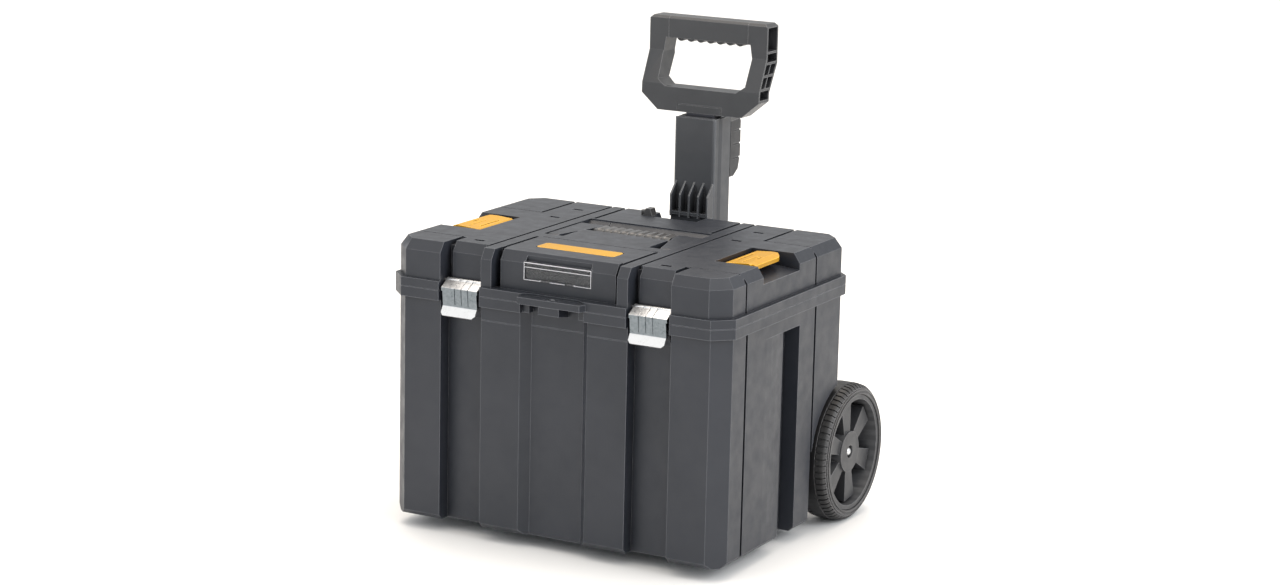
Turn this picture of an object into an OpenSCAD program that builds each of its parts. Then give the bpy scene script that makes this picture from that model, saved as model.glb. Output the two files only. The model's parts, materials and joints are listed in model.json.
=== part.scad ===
// Rolling tool box: a deep plastic box with a hinged lid, two metal front latches,
// two folding side latches, a folding carry handle, two wheels and a telescopic mast.
//
// Working frame of the modules: X across, Y from the lid's front face to the back,
// Z up from the underside of the body.  placed() moves it into the part's own frame,
// whose origin is under the middle of the whole object, at floor level.

/* [Body] */
// Width of the body across its side walls
body_w = 442; // [430:1:460]
// Depth from the lid's front face to the body's back wall
body_d = 318; // [314:1:318]
// Height of the body up to the parting line
body_h = 279; // [275:1:290]
// Wall thickness of the body and the lid
wall = 4; // [3:0.5:5]
// Height of the rim band on the body
body_rim_h = 12; // [8:1:16]
// How far the front ridges of the body stand behind the lid's front face
ridge_setback = 2; // [1:0.5:4]
// Depth of the two latch bays in the front
bay_depth = 18; // [14:1:20]
// Depth of the recessed centre panel of the front
panel_depth = 10; // [6:1:12]

/* [Lid] */
// Width of the lid
lid_w = 440; // [430:1:460]
// Depth of the lid
lid_d = 320; // [318:1:321]
// Height of the lid above the parting line
lid_h = 56; // [54:1:60]
// Height of the rim band on the lid
lid_rim_h = 11; // [8:1:14]
// How far both rim bands stand out of the walls
rim_out = 3.4; // [2:0.2:4]
// Height of the chamfer around the lid's top
top_chamfer_h = 12; // [8:1:14]
// Width of the chamfer around the lid's top
top_chamfer_w = 8; // [6:1:10]
// Size in plan of the chamfered corners
corner = 20; // [16:1:22]

/* [Wheels] */
// Outer radius of the tyres
wheel_r = 84; // [80:0.5:86]
// Width of the tyres
tyre_w = 46; // [40:1:46]
// Distance of the wheels' outer faces from the middle
wheel_face_x = 237; // [234:1:240]
// Distance of the axle behind the lid's front face
axle_y = 323; // [322:0.5:324]
// Radius of the axle
axle_r = 5; // [4:0.5:6]
// Clearance between the floor and the underside of the body
ground = 15.6; // [12:0.2:20]

/* [Mast] */
// Width of the fixed mast sleeve
sleeve_w = 55.6; // [54:0.2:58]
// Front face of the sleeve behind the lid's front face
sleeve_y = 335; // [333:0.5:336]
// Depth of the sleeve
sleeve_d = 44.5; // [44:0.5:46]
// Top of the sleeve above the underside of the body
sleeve_top = 452; // [445:1:455]
// Travel of the mast
mast_travel = 330; // [250:10:330]
// Half width of the grip
grip_half = 81; // [75:1:85]
// Top of the grip above the underside of the body
grip_top = 570.5; // [566:0.5:571]

/* [Hidden] */
$fn = 48;

eps = 0.01;
through = 1;                       // how far a cutter runs past the face that it cuts
shell_gap = 0.4;                   // gap between the lid and the body at the parting line
fit_gap = 0.05;                    // radial running clearance of pins
slide_gap = 0.4;                   // clearance of sliding plastic parts

// Front layout, as distances from the middle
panel_half = 34.6;                 // flat of the recessed centre panel
ridge_in = 44.6;                   // inner edge of the inner ridges
bay_in = 97;                       // inner edge of the latch bays
bay_out = 152.5;                   // outer edge of the latch bays
front_y = ridge_setback;
bay_y = front_y + bay_depth;
panel_y = front_y + panel_depth;
step_z = 250;                      // fine step line across the inner ridges

// Side layout, as distances from the front
slot_front = 155;                  // deep grip slot in each side wall
slot_back = 190;
slot_deep = 20;
slot_top = 250;
scoop_front = 98;                  // shallow scoop that leads into the slot
scoop_deep = 4;
side_groove_y = [52, 229];
side_groove_w = 5;

// Wheel wells and the recess for the axle beam
wheel_z = wheel_r - ground;
well_r = wheel_r + 7;
well_x = wheel_face_x - tyre_w - 5;
beam_cut_y = 306;
beam_cut_top = 98;

// Lid levels and the hinge axis
lid_bottom = body_h + shell_gap;
lid_top = body_h + lid_h;
lid_face = body_h + lid_rim_h;
hinge_y = lid_d + 7;
hinge_z = lid_top - 11;
hinge_pin_r = 2.5;
eye_r = 6;
bracket_x = 105;
bracket_w = 50;
eye_w = 8;

// Lid front blocks
block_y = 16;                      // face of the blocks in the latch bays
centre_y = 9.5;                    // face of the centre block
groove_floor_y = 24;               // floor of the narrow grooves
centre_half = 76;
rib_in = 83;
block_in = 103.5;
block_out = 145;

// Recesses in the lid's top
tub_half = 84;                     // carry handle recess
tub_front = 118;
tub_back = 230;
tub_floor = lid_top - 24;
table_half = 57;                   // raised table inside the handle's loop
table_back = 166;
ramp_front = 208;                  // foot of the finger ramp behind the handle
notch_half = 33;                   // rear notch that clears the mast's foot
notch_front = 286;
notch_floor = lid_top - 35;
side_front = 94;                   // side latch recesses
side_back = 187;
side_in = 157;
side_floor_in = lid_top - 14;
side_floor_out = lid_top - 19;

// Pivots
handle_y = 131;
handle_z = lid_top - 9;
handle_pin_r = 2.5;
side_pivot_x = 164;
side_pivot_z = lid_top - 8;
side_pin_r = 2;
latch_x = (bay_in + bay_out) / 2;
latch_half = 24.4;
latch_pivot_y = 12;
latch_pivot_z = lid_face;
latch_pin_r = 1.5;

// Mast
mast_y = 358;
mast_half = 20;
mast_depth = 20;
mast_bottom = 56;
grip_bottom = 456.5;
sleeve_wall = 3;
sleeve_bottom = 20;
bolt_z = 395;
bolt_r = 3;
lever_y = 388;
lever_z = 439;
lever_pin_r = 2;
lever_half = 26.5;
ear_out = 17;                      // outer face of the lever's ears

// Hinge brackets and lid knuckles
bracket_screw_x = [88, 122];
bracket_screw_z = [218, 252];
bracket_front = lid_d + 4;
bracket_back = bracket_front + 10;
knuckle_in = bracket_x - bracket_w / 2 + eye_w + 0.6;
knuckle_out = bracket_x + bracket_w / 2 - eye_w - 0.6;

// Padlock hole and the small turning knob at the back of the lid
padlock_y = -3.5;
padlock_r = 4;
knob_x = -35;
knob_y = 290;

// Side latch levers, as distances from the middle, and the carry handle
latch_out_x = 203;
latch_top_z = side_pivot_z + 6.2;
arm_in = 70;
bar_half = 52;
arm_out = 82.5;
bar_front = 177;
bar_back = 205;

// Wheels and axle, as radii and distances from the middle
hub_r = 25;
rim_r = 65;
tyre_in_r = 70;
wheel_in_x = wheel_face_x - tyre_w;
hub_face_x = wheel_face_x - 7;
bush_r = 8;
axle_end_x = hub_face_x - 5;
beam_screw_x = [60, 165];

// Feet
foot_x = 150;
foot_y = 115;
foot_screw_y = [foot_y - 10, foot_y + 10];
foot_pad_h = 3;

// Mast sleeve, its flange and the fins at its foot
sleeve_half = sleeve_w / 2;
sleeve_back = sleeve_y + sleeve_d;
flange_half = 46;
flange_screw_x = 38;
sleeve_screw_z = [120, 180, 240];
fin_tip = 373;
fin_front_top = 358;
fin_depth = 14;
fin_x = [-23.6, -11, 1.6, 14.2, 26.8];
foot_top = lid_top + 2;

// Grip
cover_half = 54.5;
cover_z = 544;
grip_screw_x = [-12, 12];
grip_screw_z = 468;
grip_back_y = 371.8;

grey = "#4b4d52";
dark = "#2c2d30";
yellow = "#f2b233";
zinc = "#c9ccd0";

y_centre = (axle_y + wheel_r - 11.5) / 2;

module placed() translate([0, -y_centre, ground]) children();
module both_sides() for (side = [0, 1]) mirror([side, 0, 0]) children();

// ---- helpers ---------------------------------------------------------------

// Box from its two corners
module block(lo, hi) translate(lo) cube([hi[0] - lo[0], hi[1] - lo[1], hi[2] - lo[2]]);

// Rectangle in plan with chamfered corners, centred on X
module plan(half, y0, y1, cut)
    polygon([[-half + cut, y0], [half - cut, y0], [half, y0 + cut], [half, y1 - cut],
             [half - cut, y1], [-half + cut, y1], [-half, y1 - cut], [-half, y0 + cut]]);

// Profile in the YZ plane, extruded along X from x0 to x1
module along_x(x0, x1)
    translate([x0, 0, 0]) rotate([90, 0, 90]) linear_extrude(x1 - x0) children();

// Profile in the XZ plane, extruded along Y from y0 to y1
module along_y(y0, y1)
    translate([0, y1, 0]) rotate([90, 0, 0]) linear_extrude(y1 - y0) children();

module rod_x(x0, x1, y, z, r) translate([x0, y, z]) rotate([0, 90, 0]) cylinder(h = x1 - x0, r = r);
module rod_y(y0, y1, x, z, r) translate([x, y0, z]) rotate([-90, 0, 0]) cylinder(h = y1 - y0, r = r);

// Cuts the top edge of a front face at depth y, between x0 and x1
module top_wedge(x0, x1, y)
    along_x(x0, x1)
        polygon([[y - 2, lid_top - top_chamfer_h], [y, lid_top - top_chamfer_h],
                 [y + top_chamfer_w * (1 + through / top_chamfer_h), lid_top + through],
                 [y - 2, lid_top + through]]);

// Pan-head screw along Y: the head faces +Y at y, the shank runs forward
module screw_y(x, y, z, length, r = 2.2)
    difference() {
        union() {
            rod_y(y - length, y, x, z, r);
            rod_y(y, y + 2.2, x, z, r * 2);
        }
        block([x - 2.6, y + 1, z - 0.6], [x + 2.6, y + 3, z + 0.6]);
        block([x - 0.6, y + 1, z - 2.6], [x + 0.6, y + 3, z + 2.6]);
    }

// ---- body ------------------------------------------------------------------

module wheel_well_space(grow)
    intersection() {
        union() {
            rod_x(well_x - grow, 260, axle_y, wheel_z, well_r + grow);
            block([well_x - grow, axle_y - well_r + 2 - grow, -20], [260, 420, wheel_z]);
        }
        block([well_x - grow, 0, -through], [260, 420, 260]);
    }

module body_ridge_pockets() {
    block([-panel_half + wall, panel_y + wall + 1, wall],
          [panel_half - wall, bay_y + wall + eps, body_h - wall]);
    both_sides() {
        block([ridge_in + wall, front_y + wall, wall],
              [bay_in - wall, bay_y + wall + eps, body_h - body_rim_h]);
        block([bay_out + wall, front_y + wall, wall],
              [body_w / 2 - corner, bay_y + wall + eps, body_h - body_rim_h]);
    }
}

module body_cavity()
    difference() {
        union() {
            block([-200, bay_y + wall, wall], [200, body_d - wall, body_h - body_rim_h]);
            block([-204, 30, body_h - body_rim_h - eps], [204, 308, body_h + through]);
            both_sides() {
                block([200 - eps, bay_y + wall, wall],
                      [body_w / 2 - wall - side_groove_w, scoop_front - wall, body_h - body_rim_h]);
                block([200 - eps, slot_back + wall, wall],
                      [body_w / 2 - wall - side_groove_w, body_d - wall - 10, body_h - body_rim_h]);
            }
            body_ridge_pockets();
        }
        both_sides() wheel_well_space(wall);
        block([-well_x - wall, beam_cut_y - wall, 0], [well_x + wall, 400, beam_cut_top + wall]);
    }

module scoop_profile()
    polygon(concat(
        [[body_w / 2 + through, scoop_front]],
        [for (i = [0:8]) let (t = i / 8)
            [body_w / 2 - scoop_deep * t * t, scoop_front + (slot_front - scoop_front) * t]],
        [[body_w / 2 + through, slot_front]]));

module body_rim() {
    difference() {
        translate([0, 0, body_h - body_rim_h]) linear_extrude(body_rim_h)
            plan(body_w / 2 + rim_out + 1.2, -rim_out, body_d + 2 + rim_out, corner + 1);
        both_sides() block([bay_in, -10, 0], [bay_out, bay_y, body_h + through]);
        block([-42, -10, 0], [42, panel_y, body_h + through]);
    }
    // padlock block
    along_x(-13.5, 13.5)
        polygon([[-10, body_h - 9], [-10, body_h], [panel_y + 1, body_h], [panel_y + 1, body_h - 13]]);
}

module body_shell() color(grey) placed()
    difference() {
        union() {
            difference() {
                linear_extrude(body_h) plan(body_w / 2, front_y, body_d, corner - 1);
                both_sides() {
                    block([bay_in, -through, -through], [bay_out, bay_y, body_h + through]);
                    for (y = side_groove_y)
                        block([body_w / 2 - side_groove_w, y, -through],
                              [body_w / 2 + through, y + side_groove_w, body_h - body_rim_h]);
                    block([body_w / 2 - slot_deep, slot_front, -through],
                          [body_w / 2 + through, slot_back, slot_top]);
                    translate([0, 0, -through]) linear_extrude(slot_top + through)
                        scoop_profile();
                }
                // recessed centre panel with sloped sides
                translate([0, 0, -through]) linear_extrude(body_h - body_rim_h + through)
                    polygon([[-ridge_in, front_y - through], [ridge_in, front_y - through],
                             [ridge_in, front_y], [panel_half, panel_y],
                             [-panel_half, panel_y], [-ridge_in, front_y]]);
                // fine step line, and the shallow band at the top of the centre panel
                both_sides() block([ridge_in, 0, step_z], [bay_in, front_y + 0.5, step_z + 0.8]);
                block([-panel_half, 0, step_z], [panel_half, panel_y + 0.5, step_z + 0.8]);
                block([-panel_half + 2, 0, body_h - body_rim_h], [panel_half - 2, panel_y + 1, body_h + 1]);
            }
            body_rim();
            // striker ribs for the front latches
            both_sides()
                along_x(latch_x - 19, latch_x + 19)
                    polygon([[bay_y + eps, 248], [15.5, 255], [15.5, 268], [bay_y + eps, 274]]);
        }
        body_cavity();
        both_sides() wheel_well_space(0);
        block([-well_x - eps, beam_cut_y, -through], [well_x + eps, 400, beam_cut_top]);
        // chamfers along the bottom edges
        along_x(-300, 300) polygon([[front_y - 2, -2], [front_y - 2, 6], [front_y, 6], [front_y + 6, 0],
                                    [front_y + 8, -2]]);
        both_sides()
            along_y(-10, 400) polygon([[body_w / 2 + 2, -2], [body_w / 2 + 2, 6], [body_w / 2, 6],
                                       [body_w / 2 - 6, 0], [body_w / 2 - 8, -2]]);
        // screw and padlock holes
        both_sides() {
            for (x = bracket_screw_x, z = bracket_screw_z) rod_y(body_d - 6, body_d + 1, x, z, 2.2);
            for (x = beam_screw_x) rod_y(beam_cut_y - 5, beam_cut_y + 1, x, wheel_z + 14, 2.2);
            for (y = foot_screw_y) translate([foot_x, y, -1]) cylinder(h = wall + 2, r = 2.2);
            for (z = sleeve_screw_z) rod_y(body_d - 6, body_d + 1, flange_screw_x, z, 2.2);
        }
        translate([0, padlock_y, 0]) cylinder(h = body_h + 1, r = padlock_r);
    }

// ---- hinge -----------------------------------------------------------------

module hinge_bracket()
    difference() {
        union() {
            block([bracket_x - bracket_w / 2, bracket_front, 205],
                  [bracket_x + bracket_w / 2, bracket_back, hinge_z - 10]);
            block([bracket_x - bracket_w / 2, body_d, 205],
                  [bracket_x + bracket_w / 2, bracket_front + eps, body_h - body_rim_h - 1]);
            for (x = [bracket_x - bracket_w / 2, bracket_x + bracket_w / 2 - eye_w]) {
                block([x, bracket_front, hinge_z - 11], [x + eye_w, hinge_y + eye_r, hinge_z]);
                rod_x(x, x + eye_w, hinge_y, hinge_z, eye_r);
            }
        }
        rod_x(0, 200, hinge_y, hinge_z, hinge_pin_r);
        for (x = bracket_screw_x, z = bracket_screw_z) rod_y(body_d - 1, bracket_back + 1, x, z, 2.3);
        // stiffening pockets in the back of the arm
        for (x = [bracket_x - 17, bracket_x + 2], z = [266, 288])
            block([x, bracket_back - 6, z], [x + 15, bracket_back + 1, z + 18]);
    }

module hinge_bracket_left() color(dark) placed() mirror([1, 0, 0]) hinge_bracket();
module hinge_bracket_right() color(dark) placed() hinge_bracket();

module hinge_pins() color(zinc) placed() both_sides()
    rod_x(bracket_x - bracket_w / 2, bracket_x + bracket_w / 2, hinge_y, hinge_z, hinge_pin_r);

module bracket_screws() color(zinc) placed() both_sides()
    for (x = bracket_screw_x, z = bracket_screw_z) screw_y(x, bracket_back, z, 18);

// ---- lid -------------------------------------------------------------------

module lid_outside()
    difference() {
        union() {
            translate([0, 0, lid_bottom]) linear_extrude(lid_top - lid_bottom)
                plan(lid_w / 2, 0, lid_d, corner);
            translate([0, 0, lid_bottom]) linear_extrude(lid_face - lid_bottom)
                plan(body_w / 2 + rim_out + 1.2, -rim_out, body_d + 2 + rim_out, corner + 1);
            // padlock tongue
            translate([0, 0, lid_bottom]) linear_extrude(8)
                polygon([[-46, 0], [-41, -11.5], [41, -11.5], [46, 0]]);
        }
        // chamfered top edges: front, back, sides and the four corners
        top_wedge(-lid_w / 2 - 1, lid_w / 2 + 1, 0);
        translate([0, lid_d, 0]) mirror([0, 1, 0]) top_wedge(-lid_w / 2 - 1, lid_w / 2 + 1, 0);
        both_sides() {
            translate([lid_w / 2, 0, 0]) rotate([0, 0, 90]) top_wedge(-2, lid_d + 2, 0);
            translate([lid_w / 2 - corner / 2, corner / 2, 0]) rotate([0, 0, 45])
                top_wedge(-30, 30, 0);
            translate([lid_w / 2 - corner / 2, lid_d - corner / 2, 0]) rotate([0, 0, 135])
                top_wedge(-30, 30, 0);
        }
    }

module lid_front_cuts() {
    // recessed centre block between two narrow ribs
    block([-rib_in, -5, lid_face], [rib_in, centre_y, lid_top + 1]);
    top_wedge(-rib_in, rib_in, centre_y);
    both_sides() {
        block([centre_half, -5, lid_face], [rib_in, groove_floor_y, lid_top + 1]);
        // latch bays and the block at the back of each
        block([bay_in, -10, lid_bottom - 1], [bay_out, block_y, lid_top + 1]);
        top_wedge(bay_in, bay_out, block_y);
        block([bay_in, -5, lid_bottom - 1], [block_in, groove_floor_y, lid_top + 1]);
        block([block_out, -5, lid_bottom - 1], [bay_out, groove_floor_y, lid_top + 1]);
        block([block_out, groove_floor_y - eps, lid_top - 6], [bay_out, 47, lid_top + 1]);
    }
    // set-back of the rim above the padlock tongue, with a slot-shaped dip around its hole
    translate([0, 0, lid_bottom + 8]) linear_extrude(10)
        polygon([[-43, -5], [-32, 3], [32, 3], [43, -5]]);
    block([-9, -6.5, lid_bottom + 7], [9, -0.5, lid_bottom + 9]);
    // label pocket and the finger cut above it
    block([-45, centre_y - 1, 305], [45, centre_y + 2.5, 325]);
    block([-43, centre_y - 1, 325 - eps], [43, centre_y + 5.5, lid_top + 1]);
}

module lid_top_cuts() {
    both_sides() {
        // grooves from front to back: the inner one stops at the handle recess
        block([77.5, groove_floor_y - 1, lid_top - 5], [82.5, 99, lid_top + 1]);
        block([77.5, tub_back + 2, lid_top - 5], [82.5, lid_d + 1, lid_top + 1]);
        block([bay_in, groove_floor_y - 1, lid_top - 5], [bay_in + 4, lid_d + 1, lid_top + 1]);
        // short rear grooves and the fine lines of the corner pads
        block([150, 228, lid_top - 5], [154.5, lid_d + 1, lid_top + 1]);
        for (y = [47, 228]) block([150, y, lid_top - 1.5], [lid_w / 2, y + 2, lid_top + 1]);
        // locating slots
        for (y = [37, 209, 266]) block([117, y, lid_top - 5], [131, y + 6, lid_top + 1]);
        // vertical grooves in the sides
        for (y = [50, 229]) block([lid_w / 2 - 4, y, lid_face], [lid_w / 2 + 1, y + 4, lid_top + 1]);
        // side latch recess with a floor that falls outwards
        along_y(side_front, side_back)
            polygon([[side_in, lid_top + 1], [side_in, side_floor_in],
                     [lid_w / 2 + 5, side_floor_out - 1], [lid_w / 2 + 5, lid_top + 1]]);
    }
    // carry handle recess around its raised table, with a ramp for the fingers behind
    difference() {
        union() {
            block([-tub_half, tub_front, tub_floor], [tub_half, ramp_front + eps, lid_top + 1]);
            along_x(-tub_half, tub_half)
                polygon([[ramp_front, tub_floor + 6], [ramp_front, lid_top + 1],
                         [tub_back, lid_top + 1], [tub_back, lid_top - 2]]);
        }
        block([-table_half, tub_front - 1, tub_floor - 1], [table_half, table_back, lid_top + 2]);
    }
    // division of the ramp at its left end
    block([-56, ramp_front + 4, tub_floor], [-55, tub_back, lid_top + 1]);
    // seam across the centre panel
    block([-centre_half + 2, 100, lid_top - 1.5], [centre_half + 7, 102, lid_top + 1]);
    // badge pocket
    block([-52, 46, lid_top - 1], [52, 73, lid_top + 1]);
    // rear notch with a chamfered front edge
    block([-notch_half, notch_front, notch_floor], [notch_half, lid_d + 5, lid_top + 1]);
    along_x(-notch_half, notch_half)
        polygon([[notch_front + 1, lid_top - 3], [notch_front + 1, lid_top + 1],
                 [notch_front - 3, lid_top + 1]]);
}

module lid_cavity()
    difference() {
        union() {
            block([-lid_w / 2 + wall + 4, groove_floor_y + wall, lid_bottom - 1],
                  [lid_w / 2 - wall - 4, lid_d - wall - 10, lid_top - top_chamfer_h]);
            block([-lid_w / 2 + wall + 10, groove_floor_y + wall, lid_bottom - 1],
                  [lid_w / 2 - wall - 10, lid_d - wall - 10, lid_top - 5 - wall]);
            block([-centre_half + wall, centre_y + 3 + wall, lid_face],
                  [centre_half - wall, groove_floor_y + wall + eps, lid_top - top_chamfer_h - 2]);
        }
        difference() {
            block([-tub_half - 12, tub_front - wall, tub_floor - wall],
                  [tub_half + 12, tub_back + wall, lid_top]);
            // hollow under the raised table
            block([-table_half + wall, tub_front - 2 * wall, tub_floor - 2 * wall],
                  [table_half - wall, table_back - wall, lid_top - 5 - wall]);
        }
        block([-notch_half - wall, notch_front - wall, notch_floor - wall],
              [notch_half + wall, lid_d, lid_top]);
        both_sides()
            block([side_in - 2 * wall, side_front - wall, side_floor_out - wall - 1],
                  [lid_w / 2, side_back + wall, lid_top]);
        // corners of the cavity stay clear of the chamfered outside
        both_sides() translate([lid_w / 2, lid_d, 0]) rotate([0, 0, 45])
            block([-30, -30, 0], [30, 30, lid_top]);
    }

module lid_knuckles() both_sides()
    difference() {
        union() {
            rod_x(knuckle_in, knuckle_out, hinge_y, hinge_z, eye_r - 0.5);
            block([knuckle_in, lid_d - 4, hinge_z - 5], [knuckle_out, hinge_y, hinge_z + 1]);
        }
        rod_x(0, 200, hinge_y, hinge_z, hinge_pin_r + fit_gap);
    }

module seal_ring(h)
    difference() {
        linear_extrude(h) plan(211.5, 24.5, 314.5, 12);
        translate([0, 0, -1]) linear_extrude(h + 2) plan(207.5, 28, 310.5, 10);
    }

module lid_shell() color(grey) placed()
    difference() {
        union() {
            difference() {
                lid_outside();
                lid_front_cuts();
                lid_top_cuts();
                lid_cavity();
            }
            lid_knuckles();
        }
        // bores for the latch and handle pins, the seal groove and the padlock hole
        both_sides() {
            rod_x(bay_in - 3, bay_out + 3, latch_pivot_y, latch_pivot_z, latch_pin_r);
            rod_y(side_front - 3, side_back + 3, side_pivot_x, side_pivot_z, side_pin_r);
            rod_x(tub_half - 1, tub_half + 10, handle_y, handle_z, handle_pin_r);
        }
        translate([0, 0, lid_bottom - 1]) seal_ring(1 + 3);
        translate([0, padlock_y, lid_bottom - 1]) cylinder(h = 14, r = padlock_r);
        translate([knob_x, knob_y, lid_top - 6]) cylinder(h = 8, r = 3);
    }

module lid_seal() color("#1c1c1e") placed()
    translate([0, 0, lid_bottom - 0.2]) seal_ring(3.2);

module front_latch_pins() color(zinc) placed() both_sides()
    rod_x(bay_in - 3, bay_out + 3, latch_pivot_y, latch_pivot_z, latch_pin_r);

module side_latch_pins() color(zinc) placed() both_sides()
    rod_y(side_front - 3, side_back + 3, side_pivot_x, side_pivot_z, side_pin_r);

module handle_pins() color(zinc) placed() both_sides()
    rod_x(tub_half - 17, tub_half + 10, handle_y, handle_z, handle_pin_r);

module label_card() color("#3a3b3e") placed()
    block([-43.5, centre_y + 1.7, 306], [43.5, centre_y + 2.3, 323.5]);

module label_window() color("#c8ccd2") placed()
    difference() {
        union() {
            block([-44.6, centre_y - 0.3, 305.3], [44.6, centre_y + 1.5, 324.6]);
            // two clips that hold the window's lower edge
            for (x = [-16, 16]) block([x - 6, centre_y - 1.2, 303.5], [x + 6, centre_y - eps, 307]);
        }
        block([-42.5, centre_y - 1, 307.5], [42.5, centre_y + 0.3, 321.5]);
    }

module badge_plate() color(yellow) placed()
    translate([0, 0, lid_top - 1]) linear_extrude(1.4) plan(51.5, 46.5, 72.5, 3);

module rear_knob() color(dark) placed() {
    translate([knob_x, knob_y, lid_top - 6]) cylinder(h = 6 + eps, r = 3);
    along_y(knob_y - 6, knob_y + 6)
        polygon([[knob_x - 6.5, lid_top], [knob_x + 6.5, lid_top], [knob_x + 3.5, lid_top + 9],
                 [knob_x - 3, lid_top + 9]]);
    translate([knob_x - 8, knob_y, lid_top]) cylinder(h = 6, r = 3.5);
}

// ---- latches ---------------------------------------------------------------

// Bent plate in the YZ plane: slanted top, flat middle and a flared lip
module latch_profile() {
    difference() {
        union() {
            translate([latch_pivot_y, latch_pivot_z]) circle(r = 3.4);
            polygon([[latch_pivot_y - 0.5, latch_pivot_z + 2.6], [latch_pivot_y, latch_pivot_z],
                     [-0.7, 283.4], [1.6, 262.2], [-5.6, 250.6], [-7.2, 251.8], [-0.8, 262.6],
                     [-3, 284]]);
        }
        translate([latch_pivot_y, latch_pivot_z]) circle(r = latch_pin_r + fit_gap);
    }
}

module front_latch()
    difference() {
        union() {
            along_x(latch_x - latch_half, latch_x + latch_half) latch_profile();
            // pressed hook that lies over the striker rib
            along_x(latch_x - 16, latch_x + 16)
                polygon([[0, 272], [0.6, 259], [14.6, 258.5], [14.6, 261], [7, 262], [4, 272]]);
        }
        // three pressed grooves
        for (x = [-12.5, -3.5, 5.5])
            along_x(latch_x + x, latch_x + x + 1.4)
                polygon([[-6, 264.5], [-0.2, 264.5], [-1.9, 283.7], [latch_pivot_y - 2.2, 290.4],
                         [latch_pivot_y - 2.2, 296], [-6, 296]]);
        for (s = [-1, 1]) {
            // the plate is narrower under the slanted top
            translate([latch_x + s * (latch_half + 9), 0, 0])
                block([-10.4, -20, 240], [10, 2.8, 279.5]);
            // rounded ends of the lip
            translate([latch_x + s * (latch_half - 1.4), -7, 249]) rotate([0, 45, 0])
                cube([8, 16, 8], center = true);
        }
    }

module front_latch_left() color(zinc) placed() mirror([1, 0, 0]) front_latch();
module front_latch_right() color(zinc) placed() front_latch();

// Folding side latch: a lever on a barrel at its inner end, rounded at the back
module side_latch()
    difference() {
        union() {
            rod_y(side_front + 9, side_back - 5, side_pivot_x, side_pivot_z, 4);
            intersection() {
                along_y(side_front + 9, side_back - 5)
                    polygon([[side_pivot_x - 2, side_pivot_z + 3.4], [side_pivot_x + 3, latch_top_z],
                             [latch_out_x - 8, latch_top_z + 2], [latch_out_x, latch_top_z - 0.5],
                             [latch_out_x, latch_top_z - 5.5], [side_pivot_x + 6, side_pivot_z + 1],
                             [side_pivot_x, side_pivot_z - 3.9]]);
                translate([0, 0, side_pivot_z - 20]) linear_extrude(40) union() {
                    translate([side_pivot_x - 5, side_front])
                        square([latch_out_x - side_pivot_x + 5, side_back - 5 - 20 - side_front]);
                    translate([side_pivot_x - 5, side_front])
                        square([latch_out_x - 20 - side_pivot_x + 5, side_back - side_front]);
                    translate([latch_out_x - 20, side_back - 25]) circle(r = 20);
                }
            }
        }
        rod_y(side_front, side_back, side_pivot_x, side_pivot_z, side_pin_r + fit_gap);
        // notch in the outer front corner
        block([latch_out_x - 5, side_front, side_pivot_z - 8],
              [latch_out_x + 1, side_front + 13, lid_top + 5]);
        // finger slits in the top
        block([side_pivot_x + 7, 120, latch_top_z - 1.2], [side_pivot_x + 9, 162, lid_top + 5]);
        block([side_pivot_x + 19, 112, latch_top_z - 0.6], [side_pivot_x + 20, 150, lid_top + 5]);
        block([side_pivot_x + 26, 132, latch_top_z - 0.8], [side_pivot_x + 28, 146, lid_top + 5]);
    }

module side_latch_left() color(yellow) placed() mirror([1, 0, 0]) side_latch();
module side_latch_right() color(yellow) placed() side_latch();

// ---- carry handle ----------------------------------------------------------

// Loop of the handle in plan: arms that narrow towards their pivots, and the bar
module handle_plan() {
    both_sides()
        polygon([[bar_half, bar_back - 13], [arm_in, tub_front + 5], [arm_out, tub_front + 5],
                 [arm_out, bar_back], [bar_half, bar_back]]);
    translate([-bar_half - 0.1, bar_front + 3]) square([2 * bar_half + 0.2, bar_back - bar_front - 6]);
}

module carry_handle() color(grey) placed()
    difference() {
        union() {
            intersection() {
                translate([0, 0, handle_z - 6]) linear_extrude(14) handle_plan();
                union() {
                    block([-100, handle_y, handle_z - 6], [100, 250, handle_z + 8]);
                    rod_x(-100, 100, handle_y, handle_z, 8);
                }
            }
            both_sides() rod_x(arm_in, arm_out, handle_y, handle_z, 7.5);
        }
        both_sides() {
            rod_x(tub_half - 17, 90, handle_y, handle_z, handle_pin_r + fit_gap);
            // hollow underside of the arms
            block([arm_in + 1, handle_y + 12, handle_z - 8], [arm_out - 3, bar_back - 5, handle_z + 5]);
        }
        // seat of the soft grip around the bar
        difference() {
            block([-bar_half, bar_front - 1, handle_z - 9], [bar_half, bar_back + 1, handle_z + 9]);
            block([-arm_in, bar_front + 4, handle_z - 5], [arm_in, bar_back - 4, handle_z + 5]);
        }
    }

module carry_grip() color(dark) placed()
    difference() {
        union() {
            block([-bar_half, bar_front + 3, handle_z - 7], [bar_half, bar_back, handle_z + 9.2]);
            for (i = [-4:4])
                translate([i * 11.2, bar_front + 5, handle_z - 7]) cylinder(h = 16.6, r = 5.4);
        }
        block([-arm_in, bar_front + 4, handle_z - 5], [arm_in, bar_back - 4, handle_z + 5]);
    }

// ---- wheels ----------------------------------------------------------------

module ring_x(x0, x1, r_out, r_in)
    difference() {
        rod_x(x0, x1, axle_y, wheel_z, r_out);
        rod_x(x0 - 1, x1 + 1, axle_y, wheel_z, r_in);
    }

module tyre()
    translate([wheel_in_x, axle_y, wheel_z]) rotate([0, 90, 0]) rotate_extrude()
        polygon([[tyre_in_r, 0], [wheel_r - 4, 0], [wheel_r, 5], [wheel_r, tyre_w - 6],
                 [wheel_r - 3, tyre_w - 1.5], [wheel_r - 8, tyre_w], [tyre_in_r, tyre_w - 2]]);

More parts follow.
